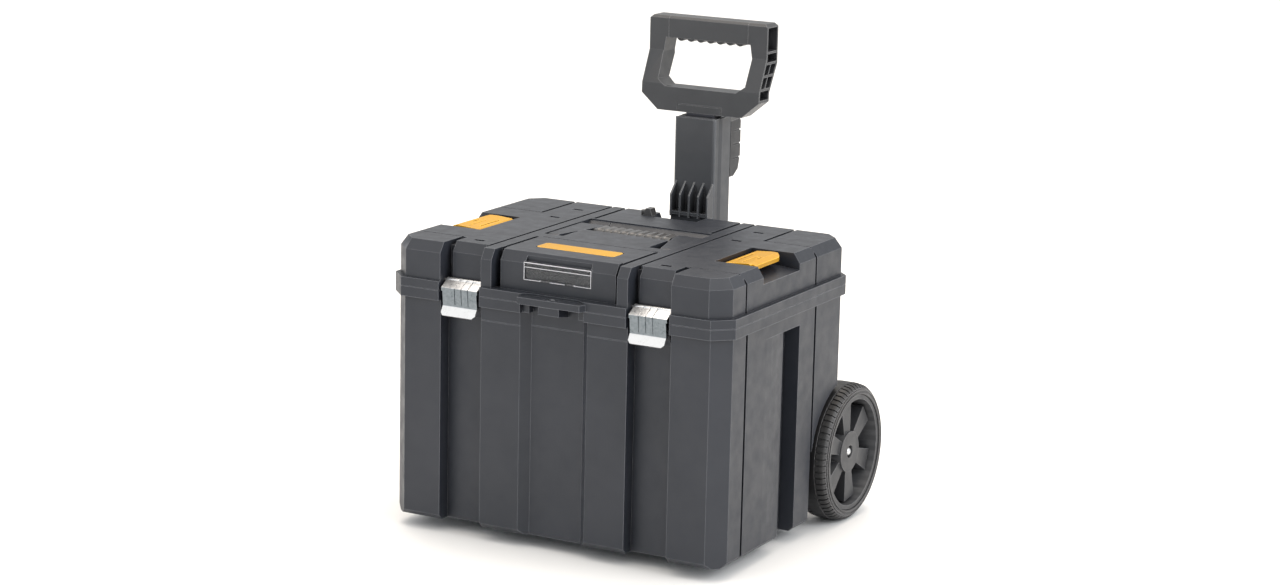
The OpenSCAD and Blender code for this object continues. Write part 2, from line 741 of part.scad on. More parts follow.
module wheel_rim()
    difference() {
        union() {
            ring_x(wheel_in_x, wheel_face_x - 2, tyre_in_r, rim_r);
            ring_x(wheel_in_x + 14, wheel_in_x + 18, rim_r + eps, hub_r);
            ring_x(wheel_in_x, hub_face_x, hub_r, bush_r);
            for (k = [0:5])
                translate([0, axle_y, wheel_z]) rotate([98 + 60 * k, 0, 0])
                    along_x(wheel_in_x + 18 - eps, hub_face_x - 3)
                        polygon([[hub_r - 2, -8], [rim_r - 4, -13], [rim_r - 4, 13], [hub_r - 2, 8]]);
        }
        // windows between the spokes
        for (k = [0:5])
            translate([0, axle_y, wheel_z]) rotate([128 + 60 * k, 0, 0])
                along_x(wheel_in_x, wheel_in_x + 30)
                    polygon([[hub_r + 8, -7], [rim_r - 8, -16], [rim_r - 8, 16], [hub_r + 8, 7]]);
    }

module wheel_bush() ring_x(wheel_in_x, hub_face_x - 9, bush_r, axle_r + fit_gap);

module wheel_rim_left() color(dark) placed() mirror([1, 0, 0]) wheel_rim();
module wheel_rim_right() color(dark) placed() wheel_rim();
module tyre_left() color("#19191b") placed() mirror([1, 0, 0]) tyre();
module tyre_right() color("#19191b") placed() tyre();
module wheel_bush_left() color("#d8d8d4") placed() mirror([1, 0, 0]) wheel_bush();
module wheel_bush_right() color("#d8d8d4") placed() wheel_bush();

module axle() color(zinc) placed() rod_x(-axle_end_x, axle_end_x, axle_y, wheel_z, axle_r);

module axle_caps() color(zinc) placed() both_sides() {
    difference() {
        rod_x(hub_face_x - 8.5, axle_end_x, axle_y, wheel_z, 7.2);
        rod_x(hub_face_x - 9, axle_end_x + 1, axle_y, wheel_z, axle_r);
    }
    translate([axle_end_x, axle_y, wheel_z]) rotate([0, 90, 0])
        intersection() {
            sphere(r = axle_r + 0.4);
            cylinder(h = 20, r = 20);
        }
}

module axle_spacers() color("#d8d8d4") placed() both_sides()
    ring_x(well_x, wheel_in_x - 0.4, 9, axle_r);

module axle_beam() color(dark) placed()
    difference() {
        block([-well_x, beam_cut_y, wheel_z - 16], [well_x, sleeve_y - 0.2, wheel_z + 24]);
        rod_x(-well_x - 1, well_x + 1, axle_y, wheel_z, axle_r);
        for (x = [-150, -100, 60, 110])
            block([x, beam_cut_y + 4, wheel_z - 17], [x + 40, sleeve_y - 4, wheel_z - axle_r - 3]);
        both_sides() for (x = beam_screw_x) {
            rod_y(beam_cut_y - 1, sleeve_y, x, wheel_z + 14, 2.3);
            rod_y(sleeve_y - 8, sleeve_y + 1, x, wheel_z + 14, 5);
        }
    }
module beam_screws() color(zinc) placed() both_sides()
    for (x = beam_screw_x) screw_y(x, sleeve_y - 8, wheel_z + 14, 22);

// ---- feet ------------------------------------------------------------------

module foot()
    difference() {
        translate([foot_x, 0, -ground + foot_pad_h]) linear_extrude(ground - foot_pad_h)
            plan(24, foot_y - 24, foot_y + 24, 5);
        for (y = foot_screw_y) translate([foot_x, y, -ground]) {
            cylinder(h = ground + 1, r = 2.3);
            cylinder(h = ground - 6, r = 5);
        }
    }
module front_foot_left() color(dark) placed() mirror([1, 0, 0]) foot();
module front_foot_right() color(dark) placed() foot();
module foot_pads() color("#1c1c1e") placed() both_sides()
    translate([foot_x, 0, -ground]) linear_extrude(foot_pad_h) plan(22, foot_y - 22, foot_y + 22, 4);
module foot_screws() color(zinc) placed() both_sides()
    for (y = foot_screw_y)
        translate([foot_x, y, -6]) {
            cylinder(h = 10, r = 2.2);
            translate([0, 0, -2.2]) cylinder(h = 2.2, r = 4.4);
        }

// ---- mast ------------------------------------------------------------------

module sleeve_section(half, y0, y1, r)
    translate([0, (y0 + y1) / 2]) {
        square([2 * half, y1 - y0 - 2 * r], center = true);
        square([2 * half - 2 * r, y1 - y0], center = true);
        for (sx = [-1, 1], sy = [-1, 1])
            translate([sx * (half - r), sy * ((y1 - y0) / 2 - r)]) circle(r = r);
    }

module mast_sleeve() color(grey) placed()
    difference() {
        union() {
            translate([0, 0, sleeve_bottom]) linear_extrude(sleeve_top - sleeve_bottom)
                sleeve_section(sleeve_half, sleeve_y, sleeve_back, 3.2);
            // flange against the body's back wall
            block([-flange_half, body_d, 104], [flange_half, sleeve_y + 6, 258]);
            // foot ledge with five slanted fins
            block([-25.6, sleeve_y - fin_depth + 1.5, foot_top - 4], [27.4, sleeve_y + 1, foot_top]);
            block([-25.6, sleeve_y - fin_depth + 5, foot_top - 14], [27.4, sleeve_y + 1, foot_top]);
            for (x = fin_x)
                along_x(x - 1, x + 1)
                    polygon([[sleeve_y - fin_depth, foot_top - 6], [sleeve_y - fin_depth, fin_front_top],
                             [sleeve_y, fin_tip], [sleeve_y + 1, foot_top - 6]]);
            // ears inside the release lever
            both_sides()
                along_x(ear_out - 4, ear_out)
                    polygon([[sleeve_back - 1, lever_z - 18], [lever_y + 5, lever_z - 5],
                             [lever_y + 5, lever_z + 4], [sleeve_back - 1, lever_z + 8]]);
        }
        translate([0, 0, sleeve_bottom + sleeve_wall]) linear_extrude(sleeve_top)
            sleeve_section(sleeve_half - sleeve_wall, sleeve_y + sleeve_wall,
                           sleeve_back - sleeve_wall, 3);
        // flute down each side
        both_sides()
            translate([0, 0, sleeve_bottom - 1]) linear_extrude(sleeve_top)
                polygon([[sleeve_half + 1, sleeve_y + 3.5], [sleeve_half - 1.8, sleeve_y + 4],
                         [sleeve_half - 1.8, sleeve_y + 14], [sleeve_half + 1, sleeve_y + 23]]);
        rod_y(sleeve_back - 5, sleeve_back + 5, 0, bolt_z, bolt_r + 0.3);
        rod_x(-30, 30, lever_y, lever_z, lever_pin_r);
        both_sides() for (z = sleeve_screw_z) rod_y(body_d - 1, sleeve_y + 7, flange_screw_x, z, 2.3);
    }

module sleeve_screws() color(zinc) placed() both_sides()
    for (z = sleeve_screw_z) screw_y(flange_screw_x, sleeve_y + 6, z, 22);

module mast_guide() color(dark) placed()
    translate([0, 0, sleeve_top - 16]) linear_extrude(16.6)
        difference() {
            sleeve_section(sleeve_half - sleeve_wall, sleeve_y + sleeve_wall,
                           sleeve_back - sleeve_wall, 3);
            sleeve_section(mast_half + slide_gap, mast_y - mast_depth / 2 - slide_gap,
                           mast_y + mast_depth / 2 + slide_gap, 2.4);
        }

module inner_mast() color("#3c3d40") placed()
    difference() {
        translate([0, 0, mast_bottom]) linear_extrude(grip_bottom + 25 - mast_bottom)
            difference() {
                sleeve_section(mast_half, mast_y - mast_depth / 2, mast_y + mast_depth / 2, 2);
                sleeve_section(mast_half - 3, mast_y - mast_depth / 2 + 2.5,
                               mast_y + mast_depth / 2 - 5.5, 1);
                // slot for the lock bolt along the back
                translate([-4.5, mast_y + mast_depth / 2 - 3]) square([9, 6]);
            }
        for (z = [bolt_z, bolt_z - mast_travel + 6])
            rod_y(mast_y, mast_y + mast_depth / 2, 0, z, bolt_r + 0.5);
        for (x = grip_screw_x) rod_y(mast_y + 4, mast_y + 12, x, grip_screw_z, 2.2);
    }

module mast_glide() color("#d8d8d4") placed()
    translate([0, 0, mast_bottom]) linear_extrude(20)
        difference() {
            sleeve_section(sleeve_half - sleeve_wall - slide_gap, sleeve_y + sleeve_wall + slide_gap,
                           sleeve_back - sleeve_wall - slide_gap, 3);
            sleeve_section(mast_half, mast_y - mast_depth / 2, mast_y + mast_depth / 2, 2);
            translate([-4.5, mast_y + mast_depth / 2 - 3]) square([9, 20]);
        }

// Side profile of the grip: the top leans back over a slanted middle
grip_front = [[345, grip_bottom], [346.5, 489], [364, 528], [364, grip_top - 3], [367, grip_top]];
grip_rear = [[390, grip_top], [393, grip_top - 3], [393, 521], [373.5, 487], [371, grip_bottom]];

module grip_outline()
    polygon([[-58, grip_bottom], [58, grip_bottom], [grip_half, 476], [grip_half, grip_top - 4],
             [grip_half - 4, grip_top], [-grip_half + 4, grip_top], [-grip_half, grip_top - 4],
             [-grip_half, 476]]);

module grip_window()
    polygon([[-49, 486], [49, 486], [60, 494], [61, 526], [58, cover_z], [-58, cover_z], [-61, 526],
             [-60, 494]]);

module grip_body()
    intersection() {
        along_x(-grip_half, grip_half) polygon(concat(grip_front, grip_rear));
        along_y(340, 400) grip_outline();
    }

// Ribbed cells that open through both ends of the grip; rows are [z0, z1, split]
cell_rows = [[479, 490, 0], [493, 506, 1], [509, 521, 1], [524, 534, 0], [537, grip_top - 5, 0]];
module grip_cells() both_sides()
    intersection() {
        along_x(grip_half - 14, grip_half + 1)
            polygon([[347.5, 470], [349, 489], [366.5, 528], [366.5, grip_top - 3.5],
                     [390.5, grip_top - 3.5], [390.5, 522], [371, 488], [369, 470]]);
        difference() {
            for (row = cell_rows)
                block([grip_half - 14, 340, row[0]], [grip_half + 1, 400, row[1]]);
            along_x(grip_half - 15, grip_half + 2)
                polygon([[360, 492], [361.8, 492], [376.8, 522], [375, 522]]);
        }
    }

module grip_frame() color(grey) placed()
    difference() {
        grip_body();
        along_y(340, 400) grip_window();
        grip_cells();
        // seat of the mast
        translate([0, 0, grip_bottom - 1]) linear_extrude(26)
            sleeve_section(mast_half, mast_y - mast_depth / 2, mast_y + mast_depth / 2, 2);
        // seat of the soft cover around the bar
        block([-cover_half, 340, cover_z], [cover_half, 400, grip_top + 1]);
        for (x = grip_screw_x) {
            rod_y(mast_y, 380, x, grip_screw_z, 2.3);
            rod_y(grip_back_y - 3, 380, x, grip_screw_z, 4.8);
        }
        // fine outline of the mast's seat on the front
        both_sides() block([29.6, 340, grip_bottom - 1], [30.4, 346, 466]);
        block([-30.4, 340, 465.6], [30.4, 346.2, 466.4]);
    }

module grip_cover() color(dark) placed() {
    intersection() {
        grip_body();
        block([-cover_half, 340, cover_z], [cover_half, 400, grip_top + 1]);
    }
    // finger waves under the bar
    for (i = [-3:3])
        translate([i * 13.5, 0, 0]) along_y(370, 389) translate([0, cover_z + 2]) circle(r = 6.2);
}

module grip_screws() color(zinc) placed()
    for (x = grip_screw_x) screw_y(x, grip_back_y - 3, grip_screw_z, 6);

// ---- mast release ----------------------------------------------------------

module release_lever() color(dark) placed()
    difference() {
        along_x(-lever_half, lever_half)
            polygon([[sleeve_back + 1.5, lever_z + 6], [404, lever_z + 7], [407, lever_z + 4],
                     [407, 400], [402, 383], [390, 375.5], [sleeve_back + 1.5, 375.5]]);
        rod_x(-lever_half + 2.5, lever_half - 2.5, lever_y, lever_z, lever_pin_r + fit_gap);
        // room for the ears and the spring, pocket for the bolt and slots for its cross pin
        block([-ear_out - 1, 370, lever_z - 28], [ear_out + 1, lever_y + 8, lever_z + 10]);
        block([-6, 370, 384], [6, lever_y + 9, 412]);
        block([-14, 370, bolt_z - 4], [14, lever_y - 0.2, bolt_z + 4]);
        // grip grooves around the back and the sides
        for (z = [397.5, 415, 432]) {
            block([-30, 405.5, z - 1], [30, 410, z + 1]);
            both_sides() block([lever_half - 1, 388, z - 1], [lever_half + 1, 410, z + 1]);
        }
    }

module lock_bolt() color(zinc) placed() {
    rod_y(mast_y + mast_depth / 2 - 2, lever_y - 1, 0, bolt_z, bolt_r);
    rod_x(-13, 13, lever_y - 2, bolt_z, 1.2);
}

module release_pin() color(zinc) placed()
    rod_x(-lever_half + 3, lever_half - 3, lever_y, lever_z, lever_pin_r);

module release_spring() color(zinc) placed() {
    for (i = [-3:3])
        translate([i * 1.1, lever_y, lever_z]) rotate([0, 90, 0]) rotate_extrude()
            translate([lever_pin_r + 1.1, 0]) circle(r = 0.6);
    rod_y(sleeve_back, lever_y, 3.3, lever_z + lever_pin_r + 1.1, 0.6);
}

body_shell();
hinge_bracket_left();
hinge_bracket_right();
hinge_pins();
bracket_screws();
axle_beam();
beam_screws();
axle();
axle_caps();
axle_spacers();
front_foot_left();
front_foot_right();
foot_pads();
foot_screws();
mast_sleeve();
mast_guide();
sleeve_screws();
release_pin();
release_spring();
lid_shell();
lid_seal();
front_latch_pins();
side_latch_pins();
handle_pins();
label_card();
label_window();
badge_plate();
rear_knob();
front_latch_left();
front_latch_right();
side_latch_left();
side_latch_right();
carry_handle();
carry_grip();
inner_mast();
mast_glide();
grip_frame();
grip_cover();
grip_screws();
release_lever();
lock_bolt();
wheel_rim_left();
tyre_left();
wheel_bush_left();
wheel_rim_right();
tyre_right();
wheel_bush_right();
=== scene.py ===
import json
import math

import bmesh
import bpy
from mathutils import Matrix, Vector


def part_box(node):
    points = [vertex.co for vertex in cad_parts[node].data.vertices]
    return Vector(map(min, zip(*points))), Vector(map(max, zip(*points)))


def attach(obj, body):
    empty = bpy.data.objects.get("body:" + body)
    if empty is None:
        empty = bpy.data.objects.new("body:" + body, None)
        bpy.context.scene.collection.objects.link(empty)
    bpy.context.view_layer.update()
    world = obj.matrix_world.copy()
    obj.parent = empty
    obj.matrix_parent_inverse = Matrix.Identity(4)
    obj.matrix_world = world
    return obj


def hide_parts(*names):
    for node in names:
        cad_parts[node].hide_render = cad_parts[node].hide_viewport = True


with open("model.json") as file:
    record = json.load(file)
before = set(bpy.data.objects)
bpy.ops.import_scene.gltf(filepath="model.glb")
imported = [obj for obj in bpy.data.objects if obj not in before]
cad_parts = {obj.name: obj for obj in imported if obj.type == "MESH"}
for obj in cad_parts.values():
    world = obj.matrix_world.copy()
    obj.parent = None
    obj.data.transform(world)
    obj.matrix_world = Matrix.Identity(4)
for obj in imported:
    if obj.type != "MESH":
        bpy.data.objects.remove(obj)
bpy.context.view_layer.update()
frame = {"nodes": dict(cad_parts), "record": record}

MM = 0.001
NODES = frame["nodes"]
SLOTS = {row["node"]: row["material_slot"] for row in frame["record"]["subparts"]}

# ---- camera, floor and light ----------------------------------------------------

CAMERA_AT = (1.7092, -3.1083, 1.0625)
AZIMUTH, ELEVATION, ROLL = (math.radians(angle) for angle in (28.79, 12.5, 1.28))
LENS = 85.45
SENSOR_WIDTH = 36
SHIFT = (0.0018, -0.0007)
FAR_CLIP = 50

FLOOR_SIZE = 30
FLOOR_GREY = 0.86

# the surroundings: cool and dim at the horizon, warm and bright overhead
HORIZON_COLOUR, OVERHEAD_COLOUR = (0.90, 0.95, 1.0), (1.0, 0.94, 0.86)
HORIZON_STRENGTH, OVERHEAD_STRENGTH = 0.5, 1.9
# name, place, point it is aimed at, length of its sides, watts, colour
LIGHTS = (
    ("key_right", (3.2, -0.2, 1.9), (0.1, 0, 0.25), 2.2, 61, (0.93, 0.965, 1.0)),
    ("top", (-0.3, 0.6, 3.0), (0, 0, 0.3), 2.5, 47, (1.0, 0.88, 0.76)),
    ("front_fill", (-1.6, -3.4, 1.4), (0, 0, 0.3), 2.0, 14, (0.84, 0.92, 1.0)),
)


def add_camera():
    back = Vector((math.sin(AZIMUTH) * math.cos(ELEVATION),
                   -math.cos(AZIMUTH) * math.cos(ELEVATION),
                   math.sin(ELEVATION)))
    level = Vector((math.cos(AZIMUTH), math.sin(AZIMUTH), 0))
    upright = back.cross(level)
    right = level * math.cos(ROLL) + upright * math.sin(ROLL)
    up = upright * math.cos(ROLL) - level * math.sin(ROLL)
    data = bpy.data.cameras.new("camera")
    data.lens = LENS
    data.sensor_width = SENSOR_WIDTH
    data.shift_x, data.shift_y = SHIFT
    data.clip_end = FAR_CLIP
    camera = bpy.data.objects.new("camera", data)
    turn = Matrix((right, up, back)).transposed().to_4x4()
    camera.matrix_world = Matrix.Translation(CAMERA_AT) @ turn
    bpy.context.scene.collection.objects.link(camera)
    bpy.context.scene.camera = camera


def add_floor():
    mesh = bpy.data.meshes.new("floor")
    corners = ((-1, -1), (1, -1), (1, 1), (-1, 1))
    mesh.from_pydata([(x * FLOOR_SIZE, y * FLOOR_SIZE, 0) for x, y in corners], [], [(0, 1, 2, 3)])
    floor = bpy.data.objects.new("floor", mesh)
    bpy.context.scene.collection.objects.link(floor)
    material, _, shader = new_material("pale_floor")
    shader.inputs["Base Color"].default_value = (FLOOR_GREY, FLOOR_GREY, FLOOR_GREY, 1)
    shader.inputs["Roughness"].default_value = 0.7
    mesh.materials.append(material)


def add_area_light(name, at, target, side, power, colour):
    data = bpy.data.lights.new(name, "AREA")
    data.shape = "RECTANGLE"
    data.size = data.size_y = side
    data.energy = power
    data.color = colour
    light = bpy.data.objects.new(name, data)
    light.location = at
    light.rotation_euler = (Vector(target) - Vector(at)).to_track_quat("-Z", "Y").to_euler()
    bpy.context.scene.collection.objects.link(light)


def add_light():
    world = bpy.data.worlds.new("studio")
    world.use_nodes = True
    tree = world.node_tree
    background = tree.nodes["Background"].inputs
    _, _, height = split_axes(tree, "Generated")
    rise = ramp(tree, height, 0.0, 1.0)
    tree.links.new(mix_colour(tree, rise, HORIZON_COLOUR, OVERHEAD_COLOUR), background["Color"])
    tree.links.new(ramp(tree, height, 0.0, 1.0, HORIZON_STRENGTH, OVERHEAD_STRENGTH),
                   background["Strength"])
    bpy.context.scene.world = world
    for light in LIGHTS:
        add_area_light(*light)
    bpy.context.scene.view_settings.view_transform = "Standard"
    bpy.context.scene.view_settings.look = "None"


# ---- building blocks of the materials ---------------------------------------------

def new_material(name):
    material = bpy.data.materials.new(name)
    material.use_nodes = True
    return material, material.node_tree, material.node_tree.nodes["Principled BSDF"]


def node(tree, kind, **sockets):
    """A new node with the given inputs; an underscore stands for a space in a socket's name."""
    made = tree.nodes.new(kind)
    for name, value in sockets.items():
        made.inputs[name.replace("_", " ")].default_value = value
    return made


def coordinates(tree, kind="Object"):
    return tree.nodes.new("ShaderNodeTexCoord").outputs[kind]


def split_axes(tree, kind):
    split = tree.nodes.new("ShaderNodeSeparateXYZ")
    tree.links.new(coordinates(tree, kind), split.inputs[0])
    return split.outputs["X"], split.outputs["Y"], split.outputs["Z"]


def noise(tree, coords, scale, detail=3.0, roughness=0.55):
    made = node(tree, "ShaderNodeTexNoise", Scale=scale, Detail=detail, Roughness=roughness)
    tree.links.new(coords, made.inputs["Vector"])
    return made.outputs["Fac"]


def ramp(tree, value, low, high, low_value=0.0, high_value=1.0):
    made = node(tree, "ShaderNodeMapRange",
                From_Min=low, From_Max=high, To_Min=low_value, To_Max=high_value)
    tree.links.new(value, made.inputs["Value"])
    return made.outputs["Result"]


def mix_colour(tree, factor, first, second):
    """Goes from first to second, each a colour or another node's output."""
    made = tree.nodes.new("ShaderNodeMix")
    made.data_type = "RGBA"
    colour_a, colour_b = made.inputs[6], made.inputs[7]
    for socket, value in ((colour_a, first), (colour_b, second)):
        if isinstance(value, bpy.types.NodeSocket):
            tree.links.new(value, socket)
        else:
            socket.default_value = (*value, 1)
    tree.links.new(factor, made.inputs[0])
    return made.outputs[2]


def maths(tree, operation, *values):
    made = tree.nodes.new("ShaderNodeMath")
    made.operation = operation
    for value, socket in zip(values, made.inputs):
        tree.links.new(value, socket)
    return made.outputs[0]


def add_bumps(tree, shader, height, strength, distance):
    bumps = node(tree, "ShaderNodeBump", Strength=strength, Distance=distance)
    tree.links.new(height, bumps.inputs["Height"])
    tree.links.new(bumps.outputs["Normal"], shader.inputs["Normal"])


def painted_edge_highlight(tree):
    """High along the edges, where a rounded normal leaves the face's own: where the painted edge
    highlights go.
    """
    rounded = node(tree, "ShaderNodeBevel", Radius=1.2 * MM)
    rounded.samples = 4
    turn = tree.nodes.new("ShaderNodeVectorMath")
    turn.operation = "DOT_PRODUCT"
    tree.links.new(rounded.outputs["Normal"], turn.inputs[0])
    tree.links.new(tree.nodes.new("ShaderNodeNewGeometry").outputs["True Normal"], turn.inputs[1])
    return ramp(tree, turn.outputs["Value"], 0.86, 0.985, 0.85, 0.0)


def corner_shade(tree):
    """Low deep in grooves and corners, where the painted shade goes."""
    hollow = node(tree, "ShaderNodeAmbientOcclusion", Distance=11 * MM)
    hollow.samples = 4
    return ramp(tree, hollow.outputs["AO"], 0.2, 0.72)


# ---- the materials ----------------------------------------------------------------

def plastic(name, colour, light_colour, roughness, grain=900.0, bump=0.25, specular=0.45):
    """Moulded plastic: cloudy colour, painted highlights along the edges, painted shade in corners and
    grooves, streaky gloss and a fine grain.
    """
    material, tree, shader = new_material(name)
    coords = coordinates(tree)
    cloud = noise(tree, coords, 9.0, 4.0)
    fine = noise(tree, coords, grain, 2.0, 0.6)
    streak = noise(tree, coords, 60.0)
    # painted highlight: a much lighter colour laid along the edges
    edge_highlight_colour = tuple(c * 2.6 + 0.12 for c in light_colour)
    # painted shade: a quarter of the colour deep in grooves and corners
    corner_shade_colour = tuple(c * 0.25 for c in colour)
    base = mix_colour(tree, ramp(tree, cloud, 0.35, 0.7), colour, light_colour)
    base_with_highlight = mix_colour(tree, painted_edge_highlight(tree), base, edge_highlight_colour)
    tree.links.new(mix_colour(tree, corner_shade(tree), corner_shade_colour, base_with_highlight),
                   shader.inputs["Base Color"])
    tree.links.new(ramp(tree, streak, 0.3, 0.7, roughness - 0.06, roughness + 0.08),
                   shader.inputs["Roughness"])
    shader.inputs["Specular IOR Level"].default_value = specular
    add_bumps(tree, shader, fine, bump, 0.3 * MM)
    return material


def tyre_rubber(name):
    """Grey side walls, and a running surface darkened nearly to black as painted shade."""
    material = plastic(name, (0.026, 0.026, 0.028), (0.042, 0.041, 0.043), 0.52, 500.0, 0.35, 0.5)
    # painted shade: faces that look along the running surface turn nearly black
    tread_shade_colour = (0.005, 0.005, 0.006)
    tree = material.node_tree
    colour = tree.nodes["Principled BSDF"].inputs["Base Color"]
    sideways, _, _ = split_axes(tree, "Normal")
    wall = ramp(tree, maths(tree, "ABSOLUTE", sideways), 0.45, 0.75)
    tree.links.new(mix_colour(tree, wall, tread_shade_colour, colour.links[0].from_socket), colour)
    return material


def brushed_metal(name):
    """Dark metal brushed along its height."""
    material, tree, shader = new_material(name)
    coords = coordinates(tree)
    stretch = node(tree, "ShaderNodeMapping", Scale=(20.0, 20.0, 400.0))
    tree.links.new(coords, stretch.inputs["Vector"])
    lines = noise(tree, stretch.outputs["Vector"], 3.0, 4.0)
    spangle = noise(tree, coords, 160.0, 2.0)
    tree.links.new(mix_colour(tree, spangle, (0.0688, 0.0688, 0.0774), (0.08, 0.08, 0.09)),
                   shader.inputs["Base Color"])
    shader.inputs["Metallic"].default_value = 1.0
    tree.links.new(ramp(tree, lines, 0.3, 0.7, 0.34, 0.54), shader.inputs["Roughness"])
    add_bumps(tree, shader, lines, 0.12, 0.2 * MM)
    return material


def clear(name):
    """Clear plastic, slightly milky."""
    material, tree, shader = new_material(name)
    shader.inputs["Base Color"].default_value = (0.92, 0.94, 0.97, 1)
    shader.inputs["Transmission Weight"].default_value = 0.92
    shader.inputs["IOR"].default_value = 1.08
    shader.inputs["Alpha"].default_value = 0.35
    tree.links.new(ramp(tree, noise(tree, coordinates(tree), 40.0), 0.3, 0.7, 0.05, 0.12),
                   shader.inputs["Roughness"])
    return material


def zinc(name):
    """Zinc plate: bright slanted top and lip, duller and mottled across the ribbed middle."""
    material, tree, shader = new_material(name)
    _, _, height = split_axes(tree, "Object")
    mottle = noise(tree, coordinates(tree), 220.0, 4.0, 0.7)
    # the middle lies between the plate's two creases
    below_upper = ramp(tree, height, 0.2990, 0.2998, 1.0, 0.0)
    above_lower = ramp(tree, height, 0.2772, 0.2780, 0.0, 1.0)
    middle = maths(tree, "MULTIPLY", below_upper, above_lower)
    bright = mix_colour(tree, mottle, (0.60, 0.61, 0.62), (0.72, 0.73, 0.75))
    dull = mix_colour(tree, ramp(tree, mottle, 0.35, 0.65),
                      (0.15, 0.175, 0.19), (0.235, 0.26, 0.28))
    tree.links.new(mix_colour(tree, middle, bright, dull), shader.inputs["Base Color"])
    shader.inputs["Metallic"].default_value = 0.9
    tree.links.new(ramp(tree, mottle, 0.3, 0.7, 0.24, 0.42), shader.inputs["Roughness"])
    add_bumps(tree, shader, mottle, 0.15, 0.2 * MM)
    return material


# colour and lighter colour of the cloudy base, roughness, and what differs from the rest
PLASTICS = {
    "shell_plastic": ((0.0164, 0.0192, 0.0262), (0.0228, 0.0256, 0.0338), 0.43, {}),
    "mast_plastic": ((0.038, 0.0410, 0.0475), (0.048, 0.0510, 0.0575), 0.42, {"specular": 0.5}),
    "trim_plastic": ((0.018, 0.0185, 0.021), (0.025, 0.0255, 0.028), 0.46, {"specular": 0.5}),
    "grip_plastic": ((0.027, 0.0285, 0.0325), (0.036, 0.0375, 0.0415), 0.42, {"specular": 0.52}),
    "yellow_plastic": ((0.44, 0.222, 0.004), (0.51, 0.268, 0.007), 0.42,
                       {"grain": 700.0, "bump": 0.1, "specular": 0.3}),
    "soft_rubber": ((0.034, 0.033, 0.034), (0.048, 0.046, 0.046), 0.3,
                    {"grain": 1400.0, "bump": 0.15, "specular": 0.8}),
    "wheel_plastic": ((0.028, 0.029, 0.032), (0.037, 0.038, 0.042), 0.46, {"specular": 0.5}),
    "clear_plastic_edge": ((0.24, 0.24, 0.26), (0.36, 0.36, 0.38), 0.3, {"specular": 0.6}),
    "card_grey": ((0.032, 0.033, 0.036), (0.042, 0.043, 0.047), 0.6, {}),
    "natural_nylon": ((0.62, 0.61, 0.56), (0.70, 0.69, 0.64), 0.45, {}),
}
MATERIALS = {name: plastic(name, colour, light_colour, roughness, **rest)
             for name, (colour, light_colour, roughness, rest) in PLASTICS.items()}
for make, name in ((tyre_rubber, "tyre_rubber"), (brushed_metal, "mast_metal"),
                   (clear, "clear_plastic"), (zinc, "zinc_steel")):
    MATERIALS[name] = make(name)


# ---- pieces -----------------------------------------------------------------------

def dress_cad_node(name):
    """Gives a CAD node its material and soft edges, without touching its mesh."""
    obj = NODES[name]
    obj.data.materials.clear()
    obj.data.materials.append(MATERIALS[SLOTS[name]])
    weld = obj.modifiers.new("weld", "WELD")
    weld.merge_threshold = 0.01 * MM
    flat = obj.modifiers.new("flat", "DECIMATE")
    flat.decimate_type = "DISSOLVE"
    flat.angle_limit = math.radians(1)
    soften = obj.modifiers.new("soften", "BEVEL")
    soften.width = 0.5 * MM
    soften.segments = 2
    soften.limit_method = "ANGLE"
    soften.angle_limit = math.radians(32)
    soften.use_clamp_overlap = True
    soften.harden_normals = True


def skin(bm, ring, following):
    """Quads between one closed ring of points and the next."""
    count = len(ring)
    for j in range(count):
        k = (j + 1) % count
        bm.faces.new((ring[j], ring[k], following[k], following[j]))


def make_piece(bm, name, material, sharp_above=None):
    """Turns bm into an object; edges bent more than sharp_above degrees stay sharp."""
    bmesh.ops.recalc_face_normals(bm, faces=bm.faces)
    mesh = bpy.data.meshes.new(name)
    bm.to_mesh(mesh)
    bm.free()
    if sharp_above is not None:
        mesh.shade_smooth()
        mesh.set_sharp_from_angle(angle=math.radians(sharp_above))
    mesh.materials.append(MATERIALS[material])
    piece = bpy.data.objects.new(name, mesh)
    bpy.context.scene.collection.objects.link(piece)
    return piece


# Half of the tyre's section in mm, from the bead to the middle: how far each point lies inside
# the tyre's side face, and how far above the bead or below the running surface.
TYRE_BEAD_RADIUS = 70 * MM
SIDE_WALL = ((6.5, 0), (1.0, 0.6), (0.2, 1.4), (0.1, 2.6), (1.1, 3.0), (1.1, 5.2), (0.4, 5.6),
             (0.6, 6.6), (1.7, 7.0), (2.0, 8.2))
SHOULDER = ((1.9, 8.5), (3.6, 10.6), (6.2, 12.6))
TREAD = ((9.0, 0.9), (13.0, 0.15))
CENTRE_CHANNEL = ((13.4, 1.2), (14.4, 1.2), (14.8, 0.05))

TREAD_BLOCKS = 66
GROOVE_DEPTH = 1.3 * MM
# along one block: part of its length, and 1 where the groove to the next block is
BLOCK_STEPS = ((0.0, 0), (0.68, 0), (0.74, 1), (0.94, 1))


def tyre_half_section(sign, half_width, outer):
    """Points on one side of the middle plane: across, radius, and 1 where grooves cut."""
    inner = TYRE_BEAD_RADIUS
    points = [(inset, inner + rise * MM, 0) for inset, rise in SIDE_WALL]
    points += [(inset, inner + rise * MM, 1) for inset, rise in SHOULDER]
    points += [(inset, outer - drop * MM, 1) for inset, drop in TREAD]
    points += [(inset, outer - drop * MM, 0) for inset, drop in CENTRE_CHANNEL]
    return [(sign * (half_width - inset * MM), radius, grooved) for inset, radius, grooved in points]


